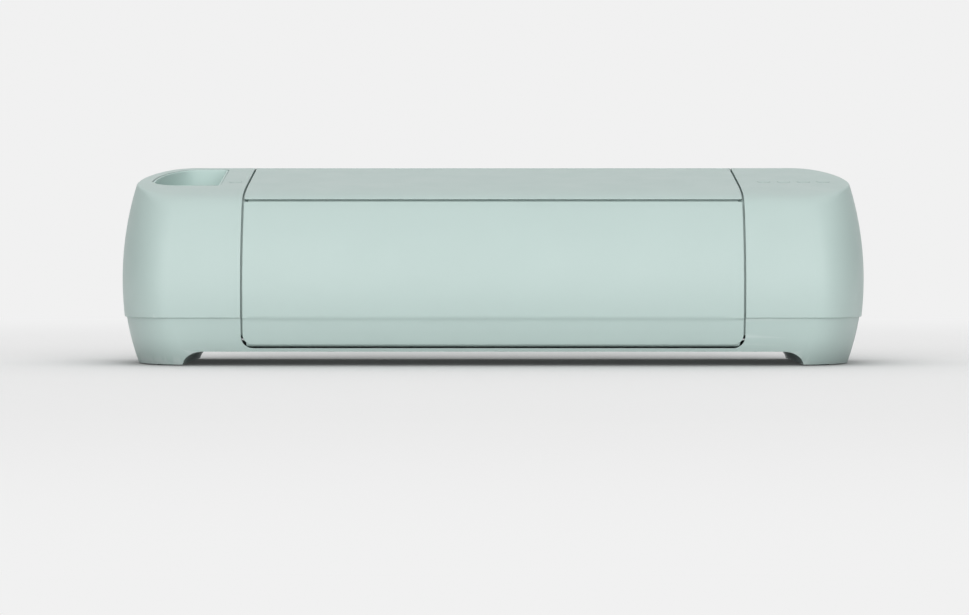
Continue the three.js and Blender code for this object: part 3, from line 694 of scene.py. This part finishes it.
def make_pod(side, name, node, holes):
    """One end pod. The geometry is made for the right side; side is -1 to mirror it."""
    shell = Shell()
    edge_x = POD_X + RIM
    columns = pod_columns()
    grid = wall_and_crease(columns, POD_BOTTOM + POD_FOOT_RIM, edge_x)
    normals = grid_normals(grid)
    ids = np.array(shell.add_points(grid)).reshape(grid.shape[:2])
    for lower, upper in zip(ids[:-1], ids[1:]):
        shell.join(list(lower), list(upper), closed=False)

    # The top, between the crease and the straight seam beside the lid.
    crease = grid[-1][:, :2]
    seam_y = np.linspace(crease[-1][1], crease[0][1], 40)[1:-1]
    outline = np.concatenate([crease, np.stack([np.full_like(seam_y, edge_x), seam_y], -1)])
    grown, mitres = [], []
    for hole in holes:
        loop, mitre = offset_loop(densify(hole[::-1], step=3), RIM)
        grown.append(loop)
        mitres.append(mitre)
    flat, triangles = triangulate([outline, *grown], spacing=3.5)
    top = np.column_stack([flat, top_z(flat[:, 1])])
    top_n = top_normal(flat[:, 1])
    top_ids = list(ids[-1]) + shell.add_points(top[len(crease):])
    shell.faces += [[top_ids[v] for v in t] for t in triangles]

    # Its holes.
    start = len(outline)
    for loop, mitre in zip(grown, mitres):
        here = slice(start, start + len(loop))
        rise = top_rise(loop[:, 1])
        reach = RIM * np.column_stack([-mitre, -mitre[:, 1] * rise])
        add_rim(shell, top_ids[here], top[here], top_n[here], reach, top[here] + reach - WALL * top_n[here])
        start += len(loop)

    # The edge beside the lid and the door, and the edge at the parting line, as one loop.
    seam = slice(len(crease), len(outline))
    ring = [*ids[:, 0], *top_ids[seam][::-1], *ids[::-1, -1], *ids[0, ::-1][1:-1]]
    points = np.concatenate([grid[:, 0], top[seam][::-1], grid[::-1, -1], grid[0, ::-1][1:-1]])
    n = np.concatenate([normals[:, 0], top_n[seam][::-1], normals[::-1, -1], normals[0, ::-1][1:-1]])
    down = grid[0] - grid[1]
    down /= np.linalg.norm(down, axis=1)[:, None]
    sideways = np.tile([-1.0, 0, 0], (len(seam_y) + 2 * len(grid), 1))
    sideways *= RIM
    down *= POD_FOOT_RIM
    sideways[0] += down[0]
    sideways[-1] += down[-1]
    reach = np.concatenate([sideways, down[::-1][1:-1]])
    last = add_rim(shell, ring, points, n, reach, points + reach - WALL * n)
    shell.faces.append([last[i] for i in range(len(sideways))])
    for point in shell.points:
        point[0] *= side
    shell.build(name, "chassis", looks["mint_shell"], [node])


CUP_LOW, CUP_HIGH = node_box("tool_cup")
CUP_RADII = ((22, 22), (4, 4), (4, 4), (30, 68))
CUP_GAP = 0.3


def cup_outline(inset):
    """The tool cup's outline, for the left pod, set in by a distance."""
    low, high = CUP_LOW[:2] - CUP_GAP + inset, CUP_HIGH[:2] + CUP_GAP - inset
    radii = [tuple(max(r - inset, 0.8) for r in pair) for pair in CUP_RADII]
    return rounded_rectangle(low[0], high[0], low[1], high[1], radii, 20)


def mirrored(loop):
    return (loop * np.array([-1, 1]))[::-1]


CUP_RIM = ((0.3, 0.9), (0.6, 0.5), (1.2, 0.35), (1.8, 0.5), (2.1, 1.0))  # (inset, drop below the top)
CUP_WALL_ROWS = 12
CUP_WALL_END = 5.0
CUP_DRAFT = 1.4
CUP_FLOOR = ((4.2, 3.2), (5.5, 2.4), (7.2, 2.0))  # (inset, height over the cup's bottom)


def make_cup():
    """The cup's liner: a round-edged rim just below the shell, drafted walls and a rounded floor."""
    bottom_z = CUP_LOW[2]
    rim_inset, rim_drop = CUP_RIM[-1]
    # Each row is (inset, drop below the top, share of the way down, height of the end of that way).
    rows = [(inset, drop, 0, 0) for inset, drop in CUP_RIM]
    for k in range(1, CUP_WALL_ROWS + 1):
        share = k / CUP_WALL_ROWS
        rows.append((rim_inset + CUP_DRAFT * share, rim_drop, share, CUP_WALL_END))
    rows += [(inset, 0, 1, height) for inset, height in CUP_FLOOR]
    shell = Shell()
    rings = []
    for inset, drop, share, height in rows:
        loop = cup_outline(inset)
        rim = top_z(loop[:, 1]) - drop
        z = rim + (bottom_z + height - rim) * share
        rings.append(shell.add_points(np.column_stack([loop, z])))
    base = cup_outline(CUP_GAP)
    bottom = shell.add_points(np.column_stack([base, np.full(len(base), bottom_z)]))
    for a, b in zip([bottom, *rings], rings):
        shell.join(a, b)
    shell.faces.append(rings[-1])
    shell.faces.append(bottom[::-1])
    # The liner's paler mint is painted light on the cup's shaded inside.
    shell.build("tool_cup_liner", "chassis", looks["mint_inner"], ["tool_cup"])


BUTTONS = ("power_button", "load_button", "go_button", "pause_button")
BUTTON_Y = -4.0
BUTTON_HOLE = 4.9


def button_place(name):
    low, high = node_box(name)
    return (low[0] + high[0]) / 2, BUTTON_Y


def circle(radius, centre=(0, 0), count=48):
    angles = np.linspace(0, 2 * math.pi, count, endpoint=False)
    return np.column_stack([centre[0] + radius * np.cos(angles), centre[1] + radius * np.sin(angles)])


# ---------------------------------------------------------------- the base


def base_block(inset, low, high, levels=2):
    """The tapering block of the base, set in, from one level to another."""
    u = np.linspace(1, 3, 73)
    rings = []
    shell = Shell()
    for z in np.linspace(low, high, levels):
        x, y = plan_point(u, np.full_like(u, z), 0, base_set_in, inset)
        right = np.column_stack([x, y, np.full_like(x, z)])
        left = right[::-1] * np.array([-1, 1, 1])
        rings.append(shell.add_points(np.concatenate([right, left])))
    for lower, upper in zip(rings, rings[1:]):
        shell.join(lower, upper)
    shell.faces.append(rings[0][::-1])
    shell.faces.append(rings[-1])
    return plain_object(shell)


def plain_object(shell):
    """An object without a body or a material: the floor, or something to cut with."""
    mesh = shell.mesh("cutter")
    made = bmesh.new()
    made.from_mesh(mesh)
    bmesh.ops.recalc_face_normals(made, faces=made.faces)
    made.to_mesh(mesh)
    made.free()
    piece = bpy.data.objects.new("cutter", mesh)
    bpy.context.scene.collection.objects.link(piece)
    return piece


def prism(outline, low, high, axis):
    """An outline extruded along an axis, and drawn in the other two coordinates."""
    shell = Shell()
    outline = np.asarray(outline, float)
    rings = []
    for end in (low, high):
        rings.append(shell.add_points(np.insert(outline, "xyz".index(axis), end, axis=1)))
    shell.join(*rings)
    shell.faces.append(rings[0][::-1])
    shell.faces.append(rings[1])
    return shell


def cut(piece, cutter, operation="DIFFERENCE"):
    modifier = piece.modifiers.new("cut", "BOOLEAN")
    modifier.operation = operation
    modifier.solver = "EXACT"
    modifier.object = cutter
    apply_modifiers(piece)
    bpy.data.objects.remove(cutter)


def apply_modifiers(piece):
    shape = bpy.data.meshes.new_from_object(
        piece.evaluated_get(bpy.context.evaluated_depsgraph_get())
    )
    piece.modifiers.clear()
    piece.data = shape


def soften(piece, width, segments, angle):
    """Rounds the sharp edges of a cut solid."""
    bevel = piece.modifiers.new("bevel", "BEVEL")
    bevel.width = width * MM
    bevel.segments = segments
    bevel.limit_method = "ANGLE"
    bevel.angle_limit = math.radians(angle)
    bevel.use_clamp_overlap = True
    apply_modifiers(piece)


def block(x0, x1, y0, y1, z0, z1):
    return plain_object(prism([(x0, y0), (x1, y0), (x1, y1), (x0, y1)], z0, z1, "z"))


FLOOR_Z = 13.1  # the base's floor, inside
UNDERSIDE_Z = 10.5
LEG_X = 230.0  # where the legs stand
LEG_ARCH = 15.0
OPENING_CORNER = 8.8
CHEEK_TOP = 25.0
CHEEK_DEPTH = (-84.0, -68.0)
FOOT_RECESS = 9.3
SCREW_RECESS = 3.7
PORT_HALF = 7.0
PORT_LEVELS = (18.1, 31.0)


def under_gap():
    """The space between the legs, with arched ends."""
    angles = np.linspace(0, math.pi / 2, 17)
    right = [(LEG_X - LEG_ARCH + LEG_ARCH * math.cos(a), UNDERSIDE_Z * math.sin(a)) for a in angles]
    left = [(-x, z) for x, z in right[::-1]]
    return plain_object(prism([(-LEG_X, -5), (LEG_X, -5), *right, *left], -120, 120, "y"))


def door_opening():
    radii = (OPENING_CORNER, OPENING_CORNER, 1, 1)
    return plain_object(prism(rounded_rectangle(-POD_X, POD_X, FLOOR_Z, 60, radii), -100, -60, "y"))


def door_cheek(x0, x1):
    """The part of the base beside the door that holds its hinge pin."""
    cheek = base_block(0.2, FLOOR_Z - 1, CHEEK_TOP)
    cut(cheek, block(x0, x1, *CHEEK_DEPTH, 0, 40), "INTERSECT")
    return cheek


def recess(node, radius, top):
    """A round hole in the underside, centred on a node."""
    return plain_object(prism(circle(radius, centre_of(node, "z")), -1, top, "z"))


def make_base():
    base = base_block(0, 0.8, PARTING_Z + 0.9, 10)
    cut(base, under_gap())
    cut(base, door_opening())
    cut(base, base_block(WALL, FLOOR_Z, PARTING_Z + 5))
    for x0, x1 in ((-POD_X - WALL, -POD_X), (POD_X, POD_X + WALL)):
        cut(base, door_cheek(x0, x1), "UNION")
    for corner in CORNERS:
        foot, screw = "foot_" + corner, "base_screw_" + corner
        cut(base, recess(foot, FOOT_RECESS, node_box(foot)[1][2] + 0.3))
        cut(base, recess(screw, SCREW_RECESS, node_box(screw)[0][2] + 1.4))
    for port in ("power_jack", "usb_port"):
        x, _ = centre_of(port, "z")
        cut(base, block(x - PORT_HALF, x + PORT_HALF, 75, 100, *PORT_LEVELS))
    soften(base, 0.5, 3, 35)
    base.name = "base_shell"
    finish_piece(base, "chassis", looks["mint_shell"], ["base_tray"])


def make_ledge(name, body, ends, low, high, depth):
    """A ledge behind a gap between shells, from end to end along X and low to high along the section."""
    points, normals = profile.place(np.column_stack([0 * profile.lengths, profile.lengths]))
    behind = Profile((points - depth * normals)[:, 1:])
    lengths = np.interp([low, high], profile.lengths, behind.lengths)
    outline = rounded_rectangle(*ends, *lengths, [0.3] * 4, 2)
    shell = panel(Shell(), behind, [outline], 1.2, radius=0.2, spacing=1.5, stretch=1.0)
    shell.build(name, body, looks["mint_shell"])


def make_ledges():
    """The pods' ledges that the door and the lid close against, and the lid's lip behind the door."""
    hinge_y, hinge_z = hinge_axis("lid_hinge")[0], hinge_axis("door_hinge")[1]
    low = profile.length_up_front(hinge_z + 2.5)
    high = np.interp(hinge_y - 8, profile.points[:, 0], profile.lengths)
    inner, outer = LID_X - 2.2, POD_X + 0.6
    behind_shells = WALL + 0.35
    make_ledge("left_flange", "chassis", (-outer, -inner), low, high, behind_shells)
    make_ledge("right_flange", "chassis", (inner, outer), low, high, behind_shells)
    make_ledge("lid_lip", "lid", (-inner + 0.4, inner - 0.4), door_high + 0.3, lid_front + 6, 1.8)


make_door()
make_lid()
make_ledges()
make_rear_cover()
open_x, open_y = button_place("open_button")
left_holes = [mirrored(cup_outline(0)), circle(BUTTON_HOLE, (-open_x, open_y))]
make_pod(-1, "left_pod", "left_pod_shell", left_holes)
right_holes = [circle(BUTTON_HOLE, button_place(button)) for button in BUTTONS]
make_pod(1, "right_pod", "right_pod_shell", right_holes)
make_cup()
make_base()


# ---------------------------------------------------------------- inner parts


def refine(node, width):
    """A piece with a CAD node's own shape and softened edges."""
    source = frame["nodes"][node]
    mesh = source.data.copy()
    made = bmesh.new()
    made.from_mesh(mesh)
    bmesh.ops.remove_doubles(made, verts=made.verts, dist=0.002 * MM)
    bmesh.ops.dissolve_limit(made, angle_limit=math.radians(1), verts=made.verts, edges=made.edges)
    made.to_mesh(mesh)
    made.free()
    piece = bpy.data.objects.new(node + "_fine", mesh)
    bpy.context.scene.collection.objects.link(piece)
    soften(piece, width, 2, 30)
    finish_piece(piece, source["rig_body"], looks[slot_of[node]], [node])


def rounded_profile(points, radius=0.3, steps=3):
    """A polyline with its corners rounded."""
    points = np.asarray(points, float)
    result = [points[0]]
    for before, here, after in zip(points, points[1:], points[2:]):
        a, b = before - here, after - here
        reach = min(radius, np.linalg.norm(a) * 0.45, np.linalg.norm(b) * 0.45)
        start = here + a / np.linalg.norm(a) * reach
        end = here + b / np.linalg.norm(b) * reach
        for t in np.linspace(0, 1, steps + 1):
            result.append(start * (1 - t) ** 2 + here * 2 * t * (1 - t) + end * t ** 2)
    result.append(points[-1])
    return result


def turned(name, body, look, axis, section, centre, replaces=(), flutes=None, tilt=False):
    """A turned piece. Its section has [distance along the axis, radius] points. Flutes are
    (from, to, count, depth), and tilt leans a piece turned about Z like the top."""
    shell = Shell()
    segments = 72 if flutes is None else flutes[2] * 6
    angles = np.linspace(0, 2 * math.pi, segments, endpoint=False)
    rings = []
    for along, radius in section:
        if radius < 1e-6:
            rings.append(shell.add_points(place_turned([along], 0, 0, axis, centre, tilt)) * segments)
            continue
        r = np.full(segments, radius)
        if flutes and flutes[0] <= along <= flutes[1]:
            r -= flutes[3] * (0.5 + 0.5 * np.cos(flutes[2] * angles))
        a, b = r * np.cos(angles), r * np.sin(angles)
        rings.append(shell.add_points(place_turned([along], a, b, axis, centre, tilt)))
    for lower, upper in zip(rings, rings[1:]):
        shell.join(lower, upper)
    shell.build(name, body, looks[look], replaces)


def place_turned(along, a, b, axis, centre, tilt):
    """Points at a distance along an axis, with a and b across it."""
    along, a, b = np.broadcast_arrays(np.asarray(along, float), a, b)
    if tilt:
        lean = math.atan(TOP_SLOPE)
        y = b * math.cos(lean) - along * math.sin(lean)
        z = b * math.sin(lean) + along * math.cos(lean)
        return np.stack([a, y, z], 1) + np.array([*centre, float(top_z(centre[1]))])
    if axis == "x":
        return np.stack([along, a + centre[0], b + centre[1]], 1)
    return np.stack([a + centre[0], b + centre[1], along], 1)


def make_buttons():
    """Caps that stand a little over the top, dished, on a stem with a collar below the shell."""
    stem = [(-6.5, 0), (-6.5, 3), (-4.4, 3), (-4.4, 6), (-3.2, 6), (-3.2, 4.5)]
    cap = [(0.2, 4.5), (0.05, 3.4), (-0.15, 1.6), (-0.2, 0)]
    section = rounded_profile([*stem, *cap], 0.35)
    for name in ("open_button", *BUTTONS):
        turned(name + "_cap", name, "mint_shell", "z", section, button_place(name), [name], tilt=True)


def make_feet():
    """Rubber feet with a ring and a dimple moulded into their soles, and the base's screws."""
    pad = [(2.4, 0), (2.4, 9), (0.9, 9), (0, 8.3), (0, 6.6), (0.25, 6.2), (0.25, 5.4), (0, 5), (0, 0)]
    section = rounded_profile(pad, 0.25)
    for corner in CORNERS:
        node = "foot_" + corner
        turned(node + "_pad", "chassis", "rubber", "z", section, centre_of(node, "z"), [node])
        refine("base_screw_" + corner, 0.25)


TYRES = ((-165, -125), (-60, -20), (20, 60), (125, 165))


def make_roller(node, shaft, radius):
    """A ground shaft with four gripping tyres."""
    low, high = node_box(node)
    centre = centre_of(node, "x")
    ends = [(low[0], 0), (low[0], shaft), (high[0], shaft), (high[0], 0)]
    turned(node + "_shaft", node, "steel", "x", rounded_profile(ends, 0.5), centre, [node])
    for number, (start, end) in enumerate(TYRES, 1):
        ring = [(start, shaft - 0.2), (start, radius), (end, radius), (end, shaft - 0.2)]
        turned(f"{node}_tyre_{number}", node, "rubber", "x", rounded_profile(ring, 0.9), centre, [node])


ROD_RADIUS = 4.0


def make_rod(node):
    low, high = node_box(node)
    ends = [(low[0], 0), (low[0], ROD_RADIUS), (high[0], ROD_RADIUS), (high[0], 0)]
    turned(node + "_fine", "chassis", "steel", "x", rounded_profile(ends, 0.6), centre_of(node, "x"), [node])


BELT_STEP = 0.5  # along the belt, with four steps to a tooth and the gap after it
BELT_THICKNESS = 1.2
BELT_WEB = 0.65  # its thickness between the teeth


def make_belt():
    """The carriage's toothed belt, a loop of one section with teeth on its inner side."""
    low, high = node_box("carriage_belt")
    middle = (low + high) / 2
    outer = (high[2] - low[2]) / 2
    reach = (high[0] - low[0]) / 2 - outer
    length = 4 * reach + 2 * math.pi * outer
    count = 4 * int(round(length / (4 * BELT_STEP)))
    shell = Shell()
    rings = []
    for i in range(count):
        s = length * i / count
        inset = BELT_THICKNESS if i % 4 < 2 else BELT_WEB
        section = ((0, low[1]), (0, high[1]), (inset, high[1]), (inset, low[1]))
        rings.append(shell.add_points([belt_point(s, d, y, middle, reach, outer) for d, y in section]))
    for a, b in zip(rings, rings[1:] + rings[:1]):
        shell.join(a, b)
    shell.build("carriage_belt_toothed", "chassis", looks["rubber"], ["carriage_belt"])


def belt_point(s, inset, y, middle, reach, outer):
    """A point at a distance along the belt's loop, set in from its outer side."""
    r = outer - inset
    half_turn = math.pi * outer
    if s < 2 * reach:
        return middle[0] - reach + s, y, middle[2] - r
    s -= 2 * reach
    if s < half_turn:
        a = -math.pi / 2 + s / outer
        return middle[0] + reach + r * math.cos(a), y, middle[2] + r * math.sin(a)
    s -= half_turn
    if s < 2 * reach:
        return middle[0] + reach - s, y, middle[2] + r
    a = math.pi / 2 + (s - 2 * reach) / outer
    return middle[0] - reach + r * math.cos(a), y, middle[2] + r * math.sin(a)


def make_spring(name, x, y, low, high):
    """A coil spring standing upright."""
    radius = 2.2
    wire = 0.45
    turns = 13
    steps = turns * 20
    up = np.array([0, 0, 1])
    around = np.linspace(0, 2 * math.pi, 8, endpoint=False)
    shell = Shell()
    rings = []
    for i in range(steps + 1):
        share = i / steps
        a = turns * 2 * math.pi * share
        out = np.array([math.cos(a), math.sin(a), 0])
        centre = np.array([x, y, low + (high - low) * share]) + radius * out
        ring = [centre + wire * (math.cos(b) * out + math.sin(b) * up) for b in around]
        rings.append(shell.add_points(ring))
    for a, b in zip(rings, rings[1:]):
        shell.join(a, b)
    shell.faces.append(rings[0])
    shell.faces.append(rings[-1][::-1])
    shell.build(name, "chassis", looks["steel"])


def make_tool(node, body, section, flutes=None):
    place = centre_of(node, "z")
    turned(node + "_fine", body, slot_of[node], "z", rounded_profile(section, 0.3), place, [node], flutes)


def make_tools():
    blade = [(55.6, 0), (58, 0.6), (60, 3.5), (65, 3.5), (70, 6.5), (98, 6.5), (98, 8), (98.6, 8), (103.6, 8)]
    blade += [(104, 8), (107, 6), (107, 0)]
    make_tool("blade_housing", "tool_holder_b", blade, flutes=(98.4, 103.7, 28, 0.35))
    pen = [(66, 0), (66, 5), (70, 6.5), (98, 6.5), (98, 8), (101, 8), (101, 5), (90, 5), (90, 0)]
    make_tool("pen_adaptor", "tool_holder_a", pen)


def make_barrel(body, joint, radius, reach):
    """The rolled barrel round the hinge line of the lid or the door."""
    ends = [(-reach, 0), (-reach, radius), (reach, radius), (reach, 0)]
    section = rounded_profile(ends, 0.6)
    turned(body + "_barrel", body, "mint_shell", "x", section, hinge_axis(joint), [body + "_panel"])


REFINED = {  # how far each node's edges are rounded
    "lid_liner": 0.5, "door_liner": 0.5, "storage_cover": 0.5, "left_side_frame": 0.4,
    "right_side_frame": 0.4, "front_platen": 0.5, "rear_platen": 0.5, "drive_gear": 0.2,
    "pinch_arm_left": 0.5, "pinch_arm_right": 0.5, "feed_motor": 0.8, "feed_motor_bracket": 0.3,
    "feed_pinion": 0.15, "rear_beam": 0.3, "carriage_motor": 0.8, "motor_pulley": 0.2,
    "idler_pulley": 0.2, "idler_axle": 0.3, "carriage_body": 0.8, "carriage_cover": 0.8,
    "belt_clip": 0.4, "tool_clamp_a": 0.7, "tool_clamp_b": 0.7, "main_board": 0.2,
    "power_jack": 0.4, "usb_port": 0.4, "button_board": 0.2, "lid_pin_left": 0.3,
    "lid_pin_right": 0.3, "door_pin_left": 0.3, "door_pin_right": 0.3, "tool_holder_a": 0.5,
    "tool_holder_b": 0.5,
}


def make_inside():
    for node, width in REFINED.items():
        refine(node, width)
    make_roller("drive_roller", 5.0, 8.0)
    make_roller("pinch_roller", 2.5, 6.0)
    make_rod("lower_guide_rod")
    make_rod("upper_guide_rod")
    make_belt()
    make_tools()
    make_spring("pinch_spring_left", -180.0, 25.0, 66.2, 88.0)
    make_spring("pinch_spring_right", 180.0, 25.0, 66.2, 88.0)


make_buttons()
make_feet()
make_barrel("lid", "lid_hinge", 4.1, LID_X - 0.4)
make_barrel("door", "door_hinge", 5.2, LID_X - 2.6)
make_inside()


# ---------------------------------------------------------------- studio


BACKGROUND = 0.879
FLOOR_RADII = (600, 3000, 30000)


def floor_material():
    """Matt white, with a painted contact shadow that darkens it close to the object, fading into the plain
    background.
    """
    material = bpy.data.materials.new("studio_white")
    tree = Tree(material)
    # Ambient occlusion darkens the floor's colour near the object: a painted contact shadow.
    painted_contact_shadow = tree.add("AmbientOcclusion", "AO", {"Distance": 0.5})
    tree.shade(Base_Color=tree.ramp(painted_contact_shadow, 0.5, 1.0, 0.55, 0.99), Roughness=0.9)
    tree.shade(Specular_IOR_Level=0.0, Emission_Color=(1, 1, 1, 1), Emission_Strength=0.028)
    glow = tree.add("Emission", "Emission", {"Strength": BACKGROUND})
    away = tree.add("VectorMath", "Value", {0: tree.place()}, operation="LENGTH")
    fade = tree.ramp(away, 0.7, 1.7, 0.0, 1.0, "SMOOTHSTEP")
    matt = tree.nodes["Principled BSDF"].outputs[0]
    surface = tree.add("MixShader", 0, {0: fade, 1: matt, 2: glow})
    tree.put(surface, tree.nodes["Material Output"].inputs["Surface"])
    return material


def make_stage():
    """A flat pale floor."""
    shell = Shell()
    rings = []
    for radius in FLOOR_RADII:
        loop = circle(radius, count=96)
        rings.append(shell.add_points(np.column_stack([loop, np.zeros(len(loop))])))
    shell.join(rings[1], rings[0])
    shell.join(rings[2], rings[1])
    shell.faces.append(rings[0])
    floor = plain_object(shell)
    floor.name = "studio_floor"
    floor.data.materials.append(floor_material())


def make_world():
    """A soft dome that is dim at both ends, with a low wide light in front, and plain to the camera."""
    world = bpy.data.worlds.new("studio_world")
    bpy.context.scene.world = world
    tree = Tree(world)
    axes = tree.add("SeparateXYZ", "X", {0: tree.place("Generated")}).node.outputs

    def ramp(value, start, end, low, high):
        return tree.ramp(value, start, end, low, high, "SMOOTHSTEP")

    dome = ramp(tree.calculate("ABSOLUTE", axes["X"], 0.0), 0.3, 0.8, 1.10, 0.04)
    back = ramp(axes["Y"], 0.0, 0.9, 1.0, 0.75)
    front = ramp(tree.calculate("MULTIPLY", axes["Y"], -1.0), 0.25, 1.0, 0.0, 1.48)
    low = ramp(axes["Z"], 0.3, 0.8, 1.0, 0.0)
    above = tree.calculate("MULTIPLY", dome, back)
    light = tree.calculate("ADD", above, tree.calculate("MULTIPLY", front, low))
    seen = tree.add("LightPath", "Is Camera Ray")
    unseen = tree.calculate("MULTIPLY", light, tree.calculate("SUBTRACT", 1.0, seen))
    strength = tree.calculate("ADD", unseen, tree.calculate("MULTIPLY", seen, BACKGROUND))
    background = tree.nodes["Background"].inputs
    tree.put(strength, background["Strength"])
    tree.put((1, 1, 1, 1), background["Color"])


def make_camera():
    """The main view: close to level, 2.6 m in front, with a long lens."""
    data = bpy.data.cameras.new("camera")
    data.sensor_width = 36
    data.lens = 127.6
    camera = bpy.data.objects.new("camera", data)
    camera.location = (0, -2.619, 0.088)
    down, left = math.radians(1.01), math.radians(0.143)
    camera.rotation_euler = (math.pi / 2 - down, 0, left)
    bpy.context.scene.collection.objects.link(camera)
    bpy.context.scene.camera = camera


bpy.context.scene.view_settings.view_transform = "Standard"
make_stage()
make_world()
make_camera()
